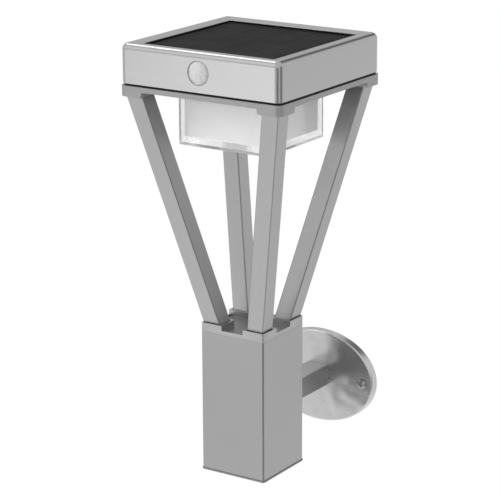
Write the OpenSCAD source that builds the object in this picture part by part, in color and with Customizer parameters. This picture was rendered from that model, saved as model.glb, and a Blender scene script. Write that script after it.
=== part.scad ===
// Solar wall light: a lantern head on four leaning square legs, carried by a square post
// on a short arm with an oval wall plate. Millimetres. The origin is on the wall plane
// behind the middle of the wall plate, +Z is up, and the lamp stands out along -Y.

/* [Post and arm] */
// Outer width of the square post tube
post_width = 61.2; // [56:0.2:66]
// Height of the post from the lip of the bottom cap to the collar
post_height = 121.7; // [110:0.1:170]
// Height of the arm's axis above the underside of the post
arm_height = 51; // [40:0.5:60]
// Height of the arm's axis above the middle of the wall plate
arm_rise = 2.2; // [0:0.1:4]
// Distance from the wall to the middle of the post
reach = 112.5; // [100:0.5:150]
// Outer width of the square arm tube
arm_width = 19.5; // [16:0.5:24]
// Sheet thickness of the post and arm tubes
tube_wall = 1.5; // [1.2:0.1:2]

/* [Collar and legs] */
// Height of the collar's four corner blocks above the post tube
block_height = 7.8; // [6:0.2:12]
// Height of the collar's rim between the blocks
rim_height = 3.6; // [2.4:0.2:5]
// Length of each corner block along the face of the post
block_length = 20.2; // [19.6:0.2:21.4]
// Outer width of the square leg tubes
leg_width = 15.4; // [13:0.2:15.6]
// Wall of the leg tubes
leg_wall = 1.2; // [1:0.1:1.6]
// Vertical distance from the top of the blocks to the underside of the frame pads
leg_rise = 194; // [150:1:260]
// Set-back of each leg's outer corner from the post faces, at the top of the blocks
leg_foot_inset = 1.4; // [1.2:0.1:2]
// Set-back of each leg's outer corner from the edge of the frame, at the pads
leg_head_inset = 3.9; // [2.2:0.1:4.4]

/* [Head] */
// Outer width of the square frame that carries the head
frame_width = 152; // [136:0.5:170]
// Height of the frame's flat strip
frame_strip = 4.2; // [3.6:0.2:6]
// Height of the corner pads, strip included
pad_height = 8.8; // [8:0.2:12]
// Height of the pressed cover
cover_height = 32.4; // [31.6:0.2:45]
// Set-back of the cover's side faces from the edge of the frame
cover_inset = 0.75; // [0.6:0.05:1.5]
// Width of the cover's top border round the window over the solar panel
window_border = 13.25; // [11.75:0.25:16]
// Outer diameter of the motion sensor's lens
lens_diameter = 18.5; // [16:0.5:20]

/* [Diffuser] */
// Distance from the edge of the frame to the side of the clear diffuser shell
diffuser_margin = 33.45; // [32.95:0.1:40.05]
// Depth of the diffuser below the frame's top face
diffuser_drop = 50.75; // [40:0.25:70]
// Set-back of the frosted inner box from the clear shell's outside
core_inset = 3.6; // [3.2:0.2:9]

/* [Wall plate] */
// Long axis of the oval wall plate
plate_length = 110.5; // [104:0.5:124]
// Short axis of the oval wall plate
plate_height = 82.4; // [76:0.4:96]
// Depth of the wall plate from the wall to its front face
plate_depth = 8.5; // [8:0.25:14]
// Distance between the two wall screws
wall_screw_spacing = 60; // [50:1:64]
// Radius of the wall screw holes
wall_screw_radius = 2.6; // [2:0.1:3]

/* [Button] */
// Travel of the mode button
button_travel = 1; // [0.6:0.1:1.2]
// Diameter of the mode button
button_diameter = 8; // [6:0.5:9]

/* [Hidden] */
$fn = 64;

// Shared clearances
slip = 0.2;
thread_gap = 0.05;
running_gap = 0.05;
lap = 1;
corner_signs = [[-1, -1], [1, -1], [-1, 1], [1, 1]];

// Shared screw sizes: shank radius, head radius, head height
m4 = [2, 3.6, 2.4];
plate_screw = [2, 4.4, 2.6];
m3 = [1.5, 2.8, 2];
m2 = [1, 1.9, 1.3];
pilot_depth = 0.8;
slot_width = 0.9;
head_dome = 1.6;
head_sink = 0.6;
head_recess = m4[2] + head_sink;
thread_relief = 0.2;

// Post, cap and arm
post_corner = 1.6;
post_bore = post_width - 2 * tube_wall;
bore_corner = 0.6;
cap_lip = 1.4;
cap_proud = 0.6;
cap_skirt_height = 9;
cap_skirt_wall = 2;
cap_skirt_corner = 1;
cap_rib = 2;
cap_rib_set_back = 1;
drain_radius = 2.5;
post_bottom = arm_rise - arm_height;
post_top = post_bottom + post_height;
tube_bottom = post_bottom + cap_lip;
arm_corner = 1;
small_bore_corner = 0.4;
plug_corner = 0.6;
arm_start = -reach + post_width / 2;
plate_front = -plate_depth;
arm_bore = arm_width - 2 * tube_wall;
arm_plug_length = 14;
arm_screw_offset = 4;
arm_screw_length = 11;

// Collar and legs
block_top = post_top + block_height;
rim_wall = 1.2;
floor_drop = 1.4;
block_round = 1.6;
skirt_width = post_bore - 2 * slip;
skirt_round = 1;
leg_corner = 1;
pad_bottom = block_top + leg_rise;
leg_foot_edge = post_width / 2 - leg_foot_inset;
leg_head_edge = frame_width / 2 - leg_head_inset;
leg_lean = atan((leg_head_edge - leg_foot_edge) * sqrt(2) / leg_rise);
leg_half = leg_width / 2 / cos(leg_lean);
leg_slope = (leg_head_edge - leg_foot_edge) / leg_rise;
socket_depth = 13.5;
collar_base = 4.5;
socket_floor = post_top - socket_depth;
collar_bottom = socket_floor - collar_base;
socket_gap = 0.5;
foot_screw_length = 9;
foot_centre = leg_foot_edge - leg_half - (block_top - socket_floor) * leg_slope;
head_centre = leg_head_edge - leg_half;
plug_length = 16;
plug_width = leg_width - 2 * leg_wall - slip / 2;
collar_screw_drop = 10;
collar_screw_length = 5;

// Frame and head
frame_top = pad_bottom + pad_height;
strip_bottom = frame_top - frame_strip;
frame_corner = 5.6;
strip_width = 22;
frame_opening = frame_width - 2 * strip_width;
opening_corner = 3;
pad_length = 21.6;
pad_draft = 1;
cover_width = frame_width - 2 * cover_inset;
cover_wall = 1;
cover_corner = 5.4;
cover_round = 5.2;
flange_height = 1.6;
flange_inset = 1.6;
cover_bottom = frame_top + flange_height;
cover_top = cover_bottom + cover_height;
cover_inner = cover_width - 2 * cover_wall;
window_width = cover_width - 2 * window_border;
window_round = 1;
window_dish = 1.4;
dish_width = window_width + 2 * (window_border - cover_round);
base_floor = 2.4;
floor_top = frame_top + base_floor;
base_wall = 2;
base_wall_height = 8;
base_inner_corner = 2;
wall_outer = cover_inner - 2 * slip;
wall_inner = wall_outer - 2 * base_wall;

// Solar panel stack, from the cover's top sheet down
seal_thickness = 0.8;
glass_thickness = 0.8;
cell_thickness = 0.4;
backboard_thickness = 1.6;
panel_lap = 3;
panel_corner = 1;
seal_set_back = 0.5;
panel_width = window_width + 2 * panel_lap;
glass_top = cover_top - window_dish - cover_wall - seal_thickness;
cell_top = glass_top - glass_thickness;
backboard_top = cell_top - cell_thickness;
carrier_top = backboard_top - backboard_thickness;
carrier_plate = 3;
carrier_bottom = carrier_top - carrier_plate;
carrier_rim = 2.5;
carrier_rim_corner = 2;
wire_slot_length = 20;
wire_slot_width = 8;
wire_slot_start = 15;
cell_columns = 4;
cell_rows = 2;
cell_gap = 0.8;
cell_margin = 12;

// Diffuser stack, from the base's floor up
diffuser_gap = 0.4;
shell_wall = 1.6;
shell_floor = 2;
shell_corner = 1.6;
shell_inner_corner = 1;
core_wall = 1.4;
core_drop = 2.8;
core_corner = 2;
flange_reach = 8.4;
diffuser_width = frame_width - 2 * diffuser_margin;
lamp_flange = diffuser_width + 2 * flange_reach;
lamp_corner = 3;
seal_height = 0.8;
shell_flange = 2.5;
core_flange = 1.4;
led_board_thickness = 1.6;
led_height = 1;
led_size = 3.5;
led_pitch = 16;
diffuser_bottom = frame_top - diffuser_drop;
core_width = diffuser_width - 2 * core_inset;
core_bottom = diffuser_bottom + core_inset + core_drop;
shell_seat = floor_top + seal_height;
core_seat = shell_seat + shell_flange;
board_seat = core_seat + core_flange;
board_top = board_seat + led_board_thickness;
lamp_screw_inset = 4;
lamp_screw = lamp_flange / 2 - lamp_screw_inset;
lamp_screw_depth = 4.4;

// Fixings of the head
side_centre = (lamp_flange / 2 + wall_inner / 2) / 2;
boss_radius = 3.6;
boss_set_back = 0.6;
boss_x = wall_inner / 2 - boss_radius - boss_set_back;
boss_y = 45;
boss_bore_depth = 12;
base_screw_depth = boss_bore_depth - 1;

// Battery at the left, control board and button at the right
cell_radius = 9.2;
cell_length = 65;
holder_floor = 1.2;
holder_height = 12;
holder_end = 4;
holder_length = cell_length + 2 * holder_end;
holder_side = 0.45;
holder_width = 2 * (cell_radius + holder_side);
holder_rail = 2;
holder_relief = 1;
contact_thickness = 1.6;
contact_width = 8;
terminal_radius = 2.8;
terminal_height = 1.6;
cell_play = 1.2;
cell_axis = floor_top + holder_floor + cell_radius;
board_width = 17;
board_length = 66;
board_thickness = 1.6;
standoff_radius = 2.2;
board_edge = 1.6;
board_screw_x = 6;
board_screw_y = 29;
board_screw_depth = 3.4;
board_bore_depth = board_screw_depth + 0.6;
charge_chip = [7, 7, 3];
lamp_chip = [6, 5, 1.6];
sense_chip = [5, 4, 1.5];
coil_radius = 2.5;
coil_height = 5.5;
cell_socket = [5, 8, 4];
lamp_socket = [4, 7, 4];
button_flange = 1;
button_flange_lap = 1.3;
button_proud = 1.2;
sleeve_wall = 1.5;
plunger_radius = 1.7;
plunger_engage = 1.2;
switch_width = 6.2;
switch_height = 3.8;
button_radius = button_diameter / 2;
button_top = floor_top + button_flange;
button_play = 0.6;
plunger_play = 0.4;
switch_bottom = button_top + button_travel + button_play;
control_seat = switch_bottom + switch_height;

// Motion sensor in the front face
lens_radius = lens_diameter / 2;
lens_drop = 0.6;
lens_z = cover_bottom + cover_height / 2 - lens_drop;
lens_gap = 0.6;
lens_rim = 0.8;
lens_dome = 1.8;
lens_lap = 1.3;
lens_flange = 1;
lens_shell = 1;
lens_sides = 360;
housing_play = 0.35;
housing_depth = (cover_inner - panel_width) / 2 - lens_flange - housing_play;
housing_wall = 1.6;
sensor_plate = 1.6;
sensor_board_width = 22;
sensor_board_bottom = lens_z - sensor_board_width / 2;
sensor_board_top = carrier_top - 1;
bay_play = 3.4;
sensor_bay = lens_flange + housing_depth + sensor_plate + bay_play;
detector_radius = 4.6;
detector_height = 4.2;
front_inner = -cover_inner / 2;
notch_play = 1.2;
sensor_notch = lens_radius + lens_lap + notch_play;

// Wall plate and bracket
plate_wall = 1.2;
plate_round = 1.4;
oval_sides = 80;
plate_screw_inset = 10.25;
plate_screw_x = plate_length / 2 - plate_screw_inset;
plate_screw_grip = 1.2;
bracket_thickness = 2;
bracket_round = 10;
bracket_edge = 0.4;
nut_radius = 4.5;
nut_spigot = 3;

// A square with rounded corners
module rounded_square(w, r) {
  square([w, w - 2 * r], center = true);
  square([w - 2 * r, w], center = true);
  for (s = corner_signs)
    translate([s[0] * (w / 2 - r), s[1] * (w / 2 - r)])
      circle(r = r);
}

module rounded_block(w, r, h) {
  linear_extrude(height = h)
    rounded_square(w, r);
}

module square_ring(w, r, inner, inner_r, h) {
  linear_extrude(height = h)
    difference() {
      rounded_square(w, r);
      rounded_square(inner, inner_r);
    }
}

// A box with rounded upright corners and a rounded top edge
module pressed_profile(half, edge, h) {
  translate([-half, 0])
    square([2 * half, h - edge]);
  translate([edge - half, 0])
    square([2 * (half - edge), h]);
  for (s = [-1, 1])
    translate([s * (half - edge), h - edge])
      circle(r = edge);
}

module pressed_corner(r, edge, h) {
  rotate_extrude() {
    square([r, h - edge]);
    square([r - edge, h]);
    translate([r - edge, h - edge])
      intersection() {
        circle(r = edge);
        square([edge, edge]);
      }
  }
}

module pressed_box(w, r, edge, h) {
  for (a = [0, 90])
    rotate([0, 0, a])
      translate([0, w / 2 - r, 0])
        rotate([90, 0, 0])
          linear_extrude(height = w - 2 * r)
            pressed_profile(w / 2, edge, h);
  for (s = corner_signs)
    translate([s[0] * (w / 2 - r), s[1] * (w / 2 - r), 0])
      pressed_corner(r, edge, h);
}

// Everything on the post's own axis is placed with this
module at_post(z = 0) {
  translate([0, -reach, z])
    children();
}

// One leg's leaning axis, through its middle at the top of the blocks
module on_leg(s) {
  centre = leg_foot_edge - leg_half;
  at_post(block_top)
    translate([s[0] * centre, s[1] * centre, 0])
      rotate(a = leg_lean, v = [-s[1], s[0], 0])
        children();
}

module leg_slab(z0, z1) {
  at_post(z0)
    translate([-frame_width, -frame_width, 0])
      cube([2 * frame_width, 2 * frame_width, z1 - z0]);
}

module leg_prism(s, w, r, extra = 0) {
  on_leg(s)
    translate([0, 0, -2 * post_width])
      linear_extrude(height = leg_rise + 4 * post_width)
        rounded_square(w + 2 * extra, r + extra);
}

// A pan-head screw with a cross recess, its head standing on z = 0 and its shank going down
module pan_screw(size, length) {
  difference() {
    union() {
      translate([0, 0, -length])
        cylinder(r = size[0], h = length + size[2] / 2);
      pan_head(size);
    }
    for (a = [0, 90])
      rotate([0, 0, a])
        translate([-size[1] / 2, -slot_width / 2, size[2] - pilot_depth])
          cube([size[1], slot_width, size[2]]);
  }
}

module pan_head(size) {
  rotate_extrude()
    intersection() {
      square([size[1], size[2]]);
      translate([0, size[2] - head_dome * size[1]])
        circle(r = head_dome * size[1]);
    }
}

function arm_screw_heights() = [arm_rise - arm_screw_offset, arm_rise + arm_screw_offset];

module post() {
  color("silver")
    difference() {
      at_post(tube_bottom)
        square_ring(post_width, post_corner, post_bore, bore_corner, post_top - tube_bottom);
      for (z = arm_screw_heights())
        translate([0, arm_start - lap - tube_wall, z])
          rotate([-90, 0, 0])
            cylinder(r = m4[0] + slip, h = tube_wall + 2 * lap);
      for (s = [-1, 1])
        translate([s * post_width / 4, arm_start - lap - tube_wall, post_top - collar_screw_drop])
          rotate([-90, 0, 0])
            cylinder(r = m3[0] + slip, h = tube_wall + 2 * lap);
    }
}

module bottom_cap() {
  skirt = post_bore - 2 * slip;
  color("gray")
    at_post(post_bottom)
      difference() {
        union() {
          rounded_block(post_width + 2 * cap_proud, post_corner + cap_proud, cap_lip);
          translate([0, 0, cap_lip - lap / 2])
            square_ring(skirt, cap_skirt_corner, skirt - 2 * cap_skirt_wall, cap_skirt_corner,
                        cap_skirt_height + lap / 2);
          for (a = [0, 90])
            rotate([0, 0, a])
              for (s = [-1, 1])
                for (t = [-1, 1])
                  translate([s * skirt / 4 - cap_rib / 2, t * (post_bore - cap_rib) / 2 - cap_rib / 2,
                             cap_lip - lap / 2])
                    cube([cap_rib, cap_rib, cap_skirt_height + lap / 2 - cap_rib_set_back]);
        }
        translate([0, 0, -lap])
          cylinder(r = drain_radius, h = cap_lip + 2 * lap);
      }
}

module collar_outline() {
  rounded_square(post_width, post_corner);
}

module collar() {
  color("darkgray")
    difference() {
      union() {
        at_post(collar_bottom)
          rounded_block(skirt_width, skirt_round, post_top - collar_bottom + lap);
        at_post(post_top)
          linear_extrude(height = rim_height)
            difference() {
              collar_outline();
              rounded_square(post_width - 2 * rim_wall, bore_corner);
            }
        at_post(post_top)
          linear_extrude(height = rim_height - floor_drop)
            collar_outline();
        at_post(post_top)
          linear_extrude(height = block_height)
            intersection() {
              collar_outline();
              for (s = corner_signs)
                translate([s[0] * post_width / 2, s[1] * post_width / 2])
                  rounded_square(2 * block_length, block_round);
            }
      }
      for (s = corner_signs)
        intersection() {
          leg_prism(s, leg_width, leg_corner, socket_gap);
          leg_slab(socket_floor, block_top + lap);
        }
      for (s = corner_signs)
        at_post(collar_bottom - lap)
          translate([s[0] * foot_centre, s[1] * foot_centre, 0])
            cylinder(r = m4[0] + slip, h = socket_floor - collar_bottom + 2 * lap);
      for (s = [-1, 1])
        translate([s * post_width / 4, arm_start - tube_wall - slip + lap, post_top - collar_screw_drop])
          rotate([90, 0, 0])
            cylinder(r = m3[0] + thread_gap, h = collar_screw_length + lap);
    }
}

module collar_screws() {
  color("dimgray")
    for (s = [-1, 1])
      translate([s * post_width / 4, arm_start, post_top - collar_screw_drop])
        rotate([-90, 0, 0])
          pan_screw(m3, collar_screw_length);
}

module leg(s) {
  color("lightgray")
    intersection() {
      difference() {
        leg_prism(s, leg_width, leg_corner);
        leg_prism(s, leg_width - 2 * leg_wall, small_bore_corner);
      }
      leg_slab(socket_floor, pad_bottom);
    }
}

module leg_front_left() {
  leg([-1, -1]);
}

module leg_front_right() {
  leg([1, -1]);
}

module leg_back_left() {
  leg([-1, 1]);
}

module leg_back_right() {
  leg([1, 1]);
}

module leg_foot_plugs() {
  color("dimgray")
    for (s = corner_signs)
      difference() {
        intersection() {
          leg_prism(s, plug_width, plug_corner);
          leg_slab(socket_floor, socket_floor + plug_length);
        }
        at_post(socket_floor - lap)
          translate([s[0] * foot_centre, s[1] * foot_centre, 0])
            cylinder(r = m4[0] + thread_gap, h = foot_screw_length + 2 * lap);
      }
}

module leg_head_plugs() {
  color("dimgray")
    for (s = corner_signs)
      difference() {
        intersection() {
          leg_prism(s, plug_width, plug_corner);
          leg_slab(pad_bottom - plug_length, pad_bottom);
        }
        at_post(pad_bottom - foot_screw_length - lap)
          translate([s[0] * head_centre, s[1] * head_centre, 0])
            cylinder(r = m4[0] + thread_gap, h = foot_screw_length + 2 * lap);
      }
}

module leg_foot_screws() {
  color("gray")
    for (s = corner_signs)
      at_post(collar_bottom)
        translate([s[0] * foot_centre, s[1] * foot_centre, 0])
          rotate([180, 0, 0])
            pan_screw(m4, socket_floor - collar_bottom + foot_screw_length);
}

// The heads of these sink into the frame, so that the base lies flat on it
module leg_head_screws() {
  color("gray")
    for (s = corner_signs)
      at_post(frame_top - head_recess)
        translate([s[0] * head_centre, s[1] * head_centre, 0])
          pan_screw(m4, pad_height - head_recess + foot_screw_length);
}

module pad_wedge() {
  deep = pad_height - frame_strip;
  rotate([90, 0, 0])
    translate([0, 0, -frame_width])
      linear_extrude(height = 2 * frame_width)
        for (s = [-1, 1])
          scale_x(s)
            polygon([[frame_width / 2, -deep], [frame_width / 2, lap],
                     [frame_width / 2 - pad_length, lap], [frame_width / 2 - pad_length, 0],
                     [frame_width / 2 - pad_length + pad_draft, -deep]]);
}

module scale_x(s) {
  if (s < 0)
    mirror([1, 0])
      children();
  else
    children();
}

module upper_frame() {
  color("silver")
    difference() {
      union() {
        at_post(strip_bottom)
          square_ring(frame_width, frame_corner, frame_opening, opening_corner, frame_strip);
        intersection() {
          at_post(strip_bottom)
            pad_wedge();
          at_post(strip_bottom)
            rotate([0, 0, 90])
              pad_wedge();
          at_post(pad_bottom)
            rounded_block(frame_width, frame_corner, pad_height);
        }
      }
      for (s = corner_signs)
        at_post(pad_bottom - lap)
          translate([s[0] * head_centre, s[1] * head_centre, 0]) {
            cylinder(r = m4[0] + slip, h = pad_height + 2 * lap);
            translate([0, 0, lap + pad_height - head_recess])
              cylinder(r = m4[1] + slip, h = head_recess + lap);
          }
      for (p = boss_places())
        at_post(strip_bottom - lap)
          translate([p[0], p[1], 0])
            cylinder(r = m3[0] + slip, h = frame_strip + 2 * lap);
      at_post(strip_bottom - lap)
        translate([side_centre, 0, 0])
          cylinder(r = button_radius + sleeve_wall + slip, h = frame_strip + 2 * lap);
    }
}

function boss_places() = [for (s = corner_signs) [s[0] * boss_x, s[1] * boss_y]];

module head_base() {
  boss = frame_opening - 2 * slip;
  hole = diffuser_width + 2 * diffuser_gap;
  color("#202020")
    difference() {
      union() {
        at_post(strip_bottom)
          rounded_block(boss, opening_corner, frame_strip + lap);
        at_post(frame_top)
          rounded_block(cover_width - 2 * flange_inset, cover_corner - flange_inset, flange_height);
        at_post(frame_top)
          rounded_block(wall_outer, cover_corner - cover_wall - slip, base_floor);
        at_post(floor_top - lap)
          square_ring(wall_outer, cover_corner - cover_wall - slip, wall_inner,
                      base_inner_corner, base_wall_height + lap);
        at_post(strip_bottom)
          translate([side_centre, 0, 0])
            cylinder(r = button_radius + sleeve_wall, h = frame_strip + lap);
        for (s = [-1, 1])
          for (t = [-1, 1])
            at_post(floor_top - lap)
              translate([side_centre + s * board_screw_x, t * board_screw_y, 0])
                cylinder(r = standoff_radius, h = control_seat - floor_top + lap);
        sensor_rest();
      }
      at_post(strip_bottom - lap)
        rounded_block(hole, shell_corner + diffuser_gap, frame_strip + base_floor + 2 * lap);
      at_post(strip_bottom - lap)
        translate([side_centre, 0, 0])
          cylinder(r = button_radius + running_gap, h = frame_strip + base_floor + 2 * lap);
      for (p = boss_places())
        at_post(frame_top - lap)
          translate([p[0], p[1], 0])
            cylinder(r = m3[0] + slip, h = base_floor + 2 * lap);
      for (s = corner_signs)
        at_post(floor_top - lamp_screw_depth - 2 * thread_relief)
          translate([s[0] * lamp_screw, s[1] * lamp_screw, 0])
            cylinder(r = m3[0] + thread_gap, h = lamp_screw_depth + 2 * thread_relief + lap);
      for (s = [-1, 1])
        at_post(control_seat - board_bore_depth)
          translate([side_centre + s * board_screw_x, s * board_screw_y, 0])
            cylinder(r = m2[0] + thread_gap, h = board_bore_depth + lap);
      at_post(floor_top)
        translate([-sensor_notch, -wall_outer / 2 - lap, 0])
          cube([2 * sensor_notch, base_wall + 2 * lap, base_wall_height + lap]);
    }
}

// Two ribs and a sill that the sensor's board stands on
module sensor_rest() {
  at_post(floor_top - lap)
    translate([-sensor_board_width / 2, front_inner + lens_flange + housing_depth, 0])
      cube([sensor_board_width, sensor_plate, sensor_board_bottom - floor_top + lap]);
}

module base_screws() {
  color("gray")
    for (p = boss_places())
      at_post(strip_bottom)
        translate([p[0], p[1], 0])
          rotate([180, 0, 0])
            pan_screw(m3, frame_strip + base_floor + base_screw_depth);
}

// The space over the panel: the strip round the window slopes down to the window's edge
module dish_space(extra = 0) {
  intersection_for(a = [0, 90])
    rotate([90, 0, a])
      translate([0, 0, -frame_width])
        linear_extrude(height = 2 * frame_width)
          polygon([[-window_width / 2, -window_dish], [window_width / 2, -window_dish],
                   [dish_width / 2, 0], [dish_width / 2, extra],
                   [-dish_width / 2, extra], [-dish_width / 2, 0]]);
}

module head_cover() {
  color("silver")
    difference() {
      at_post(cover_bottom)
        pressed_box(cover_width, cover_corner, cover_round, cover_height);
      difference() {
        at_post(cover_bottom)
          translate([0, 0, -cover_round])
            pressed_box(cover_inner, cover_corner - cover_wall, cover_round - cover_wall,
                        cover_height - cover_wall + cover_round);
        at_post(cover_top - cover_wall)
          dish_space(cover_wall);
      }
      at_post(cover_top)
        dish_space(cover_wall);
      at_post(cover_top - 2 * cover_wall - window_dish)
        rounded_block(window_width, window_round, 4 * cover_wall);
      at_lens()
        translate([0, 0, -cover_wall - lap])
          cylinder(r = lens_radius + lens_gap, h = cover_wall + 2 * lap);
    }
}

// On the middle of the cover's front face, with z pointing out of the lamp
module at_lens() {
  at_post(lens_z)
    translate([0, -cover_width / 2, 0])
      rotate([90, 0, 0])
        children();
}

module panel_seal() {
  color("black")
    at_post(glass_top)
      square_ring(panel_width, panel_corner, window_width + 2 * seal_set_back, panel_corner,
                  seal_thickness);
}

module solar_glass() {
  color("#303030")
    at_post(cell_top)
      rounded_block(panel_width, panel_corner, glass_thickness);
}

module solar_cells() {
  field = panel_width - 2 * cell_margin;
  wide = (field - (cell_columns - 1) * cell_gap) / cell_columns;
  long = (field - (cell_rows - 1) * cell_gap) / cell_rows;
  color("#1c1c24")
    at_post(backboard_top)
      for (i = [0:cell_columns - 1])
        for (j = [0:cell_rows - 1])
          translate([-field / 2 + i * (wide + cell_gap), -field / 2 + j * (long + cell_gap), 0])
            cube([wide, long, cell_thickness]);
}

module panel_backboard() {
  color("#2a2a2a")
    at_post(carrier_top)
      rounded_block(panel_width, panel_corner, backboard_thickness);
}

module panel_carrier() {
  rim_outer = panel_width + 2 * carrier_rim;
  color("#181818")
    difference() {
      union() {
        at_post(carrier_bottom)
          rounded_block(wall_outer, cover_corner - cover_wall - slip, carrier_plate);
        at_post(carrier_top - lap)
          square_ring(rim_outer, carrier_rim_corner, panel_width + 2 * slip, panel_corner,
                      backboard_thickness + lap);
        for (p = boss_places())
          at_post(floor_top)
            translate([p[0], p[1], 0])
              cylinder(r = boss_radius, h = carrier_bottom - floor_top + lap);
      }
      for (p = boss_places())
        at_post(floor_top - lap)
          translate([p[0], p[1], 0])
            cylinder(r = m3[0] + thread_gap, h = boss_bore_depth + lap);
      at_post(carrier_bottom - lap)
        translate([-sensor_notch, -wall_outer / 2 - lap, 0])
          cube([2 * sensor_notch, sensor_bay + lap,
                carrier_plate + backboard_thickness + 2 * lap]);
      at_post(carrier_bottom - lap)
        translate([wire_slot_start, -wire_slot_width / 2, 0])
          cube([wire_slot_length, wire_slot_width, carrier_plate + 2 * lap]);
    }
}

// The lens is a thin cap with a flange that seats behind the cover's sheet
module sensor_lens() {
  cap = (lens_radius * lens_radius + lens_dome * lens_dome) / (2 * lens_dome);
  color("white")
    at_lens()
      difference() {
        union() {
          translate([0, 0, -cover_wall - lens_flange])
            cylinder(r = lens_radius + lens_lap, h = lens_flange);
          translate([0, 0, -cover_wall - lens_flange])
            cylinder(r = lens_radius, h = cover_wall + lens_flange + lens_rim);
          translate([0, 0, lens_rim])
            lens_cap(cap, lens_radius);
        }
        translate([0, 0, -cover_wall - lens_flange - lap])
          cylinder(r = lens_radius - lens_shell, h = cover_wall + lens_flange + lens_rim + lap);
      }
}

module lens_cap(cap, r) {
  rotate_extrude()
    intersection() {
      translate([0, lens_dome - cap])
        circle(r = cap, $fn = lens_sides);
      square([r, lens_dome]);
    }
}

module sensor_housing() {
  color("black")
    at_lens()
      translate([0, 0, -cover_wall - lens_flange - housing_depth])
        difference() {
          cylinder(r = lens_radius + lens_lap - slip, h = housing_depth);
          translate([0, 0, -lap])
            cylinder(r = lens_radius + lens_lap - slip - housing_wall, h = housing_depth + 2 * lap);
        }
}

module sensor_detector() {
  color("gold")
    at_lens()
      translate([0, 0, -cover_wall - lens_flange - housing_depth])
        cylinder(r = detector_radius, h = detector_height);
}

module sensor_board() {
  color("darkgreen")
    at_lens()
      translate([-sensor_board_width / 2, -sensor_board_width / 2,
                 -cover_wall - lens_flange - housing_depth - sensor_plate])
        cube([sensor_board_width, sensor_board_top - sensor_board_bottom, sensor_plate]);
}

module battery_holder() {
  color("#282828")
    at_post(floor_top)
      difference() {
        translate([-side_centre - holder_width / 2, -holder_length / 2, 0])
          cube([holder_width, holder_length, holder_height]);
        translate([-side_centre, cell_length / 2 + contact_thickness, holder_floor + cell_radius])
          rotate([90, 0, 0])
            cylinder(r = cell_radius + thread_gap, h = cell_length + 2 * contact_thickness);
        translate([-side_centre - holder_width / 2 + holder_rail,
                   -cell_length / 2 - contact_thickness, holder_floor + holder_relief])
          cube([holder_width - 2 * holder_rail, cell_length + 2 * contact_thickness,
                holder_height]);
      }
}

module battery_cell() {
  color("seagreen")
    at_post(cell_axis)
      translate([-side_centre, 0, 0]) {
        translate([0, cell_length / 2, 0])
          rotate([90, 0, 0])
            cylinder(r = cell_radius, h = cell_length - cell_play);
        translate([0, -cell_length / 2 + terminal_height, 0])
          rotate([90, 0, 0])
            cylinder(r = terminal_radius, h = terminal_height);
      }
}

module battery_contacts() {
  color("silver")
    at_post(cell_axis)
      for (s = [-1, 1])
        translate([-side_centre - contact_width / 2,
                   s * (cell_length + contact_thickness) / 2 - contact_thickness / 2,
                   -contact_width / 2])
          cube([contact_width, contact_thickness, contact_width]);
}

module control_board() {
  color("darkgreen")
    at_post(control_seat)
      translate([side_centre, 0, 0])
        difference() {
          translate([-board_width / 2, -board_length / 2, 0])
            cube([board_width, board_length, board_thickness]);
          for (s = [-1, 1])
            translate([s * board_screw_x, s * board_screw_y, -lap])
              cylinder(r = m2[0] + slip, h = board_thickness + 2 * lap);
        }
}

module board_parts() {
  color("#101010")
    at_post(control_seat + board_thickness)
      translate([side_centre, 0, 0]) {
        translate([-lamp_chip[0] / 2, -board_length / 4, 0])
          cube(lamp_chip);
        translate([-sense_chip[0] / 2, board_length / 8, 0])
          cube(sense_chip);
        translate([board_edge - board_width / 2, -charge_chip[1] / 2, 0])
          cube(charge_chip);
        translate([board_width / 2 - board_edge - coil_radius, board_length / 4, 0])
          cylinder(r = coil_radius, h = coil_height);
        translate([board_edge - board_width / 2, board_length / 4, 0])
          cube(cell_socket);
        translate([board_width / 2 - board_edge - lamp_socket[0], -board_length * 3 / 8, 0])
          cube(lamp_socket);
      }
}

module board_screws() {
  color("gray")
    for (s = [-1, 1])
      at_post(control_seat + board_thickness)
        translate([side_centre + s * board_screw_x, s * board_screw_y, 0])
          pan_screw(m2, board_thickness + board_screw_depth);
}

module lamp_holes(z0, z1) {
  for (s = corner_signs)
    at_post(z0 - lap)
      translate([s[0] * lamp_screw, s[1] * lamp_screw, 0])
        cylinder(r = m3[0] + slip, h = z1 - z0 + 2 * lap);
}

module diffuser_seal() {
  color("#303030")
    difference() {
      at_post(floor_top)
        square_ring(lamp_flange, lamp_corner, diffuser_width + 2 * diffuser_gap,
                    shell_corner + diffuser_gap, seal_height);
      lamp_holes(floor_top, shell_seat);
    }
}

module diffuser_shell() {
  color("lightblue", 0.4)
    difference() {
      union() {
        at_post(diffuser_bottom)
          rounded_block(diffuser_width, shell_corner, shell_seat + shell_flange - diffuser_bottom);
        at_post(shell_seat)
          rounded_block(lamp_flange, lamp_corner, shell_flange);
      }
      at_post(diffuser_bottom + shell_floor)
        rounded_block(diffuser_width - 2 * shell_wall, shell_inner_corner,
                      core_seat - diffuser_bottom);
      lamp_holes(shell_seat, core_seat);
    }
}

module diffuser_core() {
  color("white", 0.8)
    difference() {
      union() {
        at_post(core_bottom)
          rounded_block(core_width, core_corner, board_seat - core_bottom);
        at_post(core_seat)
          rounded_block(lamp_flange, lamp_corner, core_flange);
      }
      at_post(core_bottom + core_wall)
        rounded_block(core_width - 2 * core_wall, core_corner - core_wall, board_seat - core_bottom);
      lamp_holes(core_seat, board_seat);
    }
}

module led_board() {
  color("ivory")
    difference() {
      at_post(board_seat)
        rounded_block(lamp_flange, lamp_corner, led_board_thickness);
      lamp_holes(board_seat, board_top);
    }
}

module led_chips() {
  color("khaki")
    for (i = [-1:1])
      for (j = [-1:1])
        at_post(board_seat - led_height)
          translate([i * led_pitch - led_size / 2, j * led_pitch - led_size / 2, 0])
            cube([led_size, led_size, led_height]);
}

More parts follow.
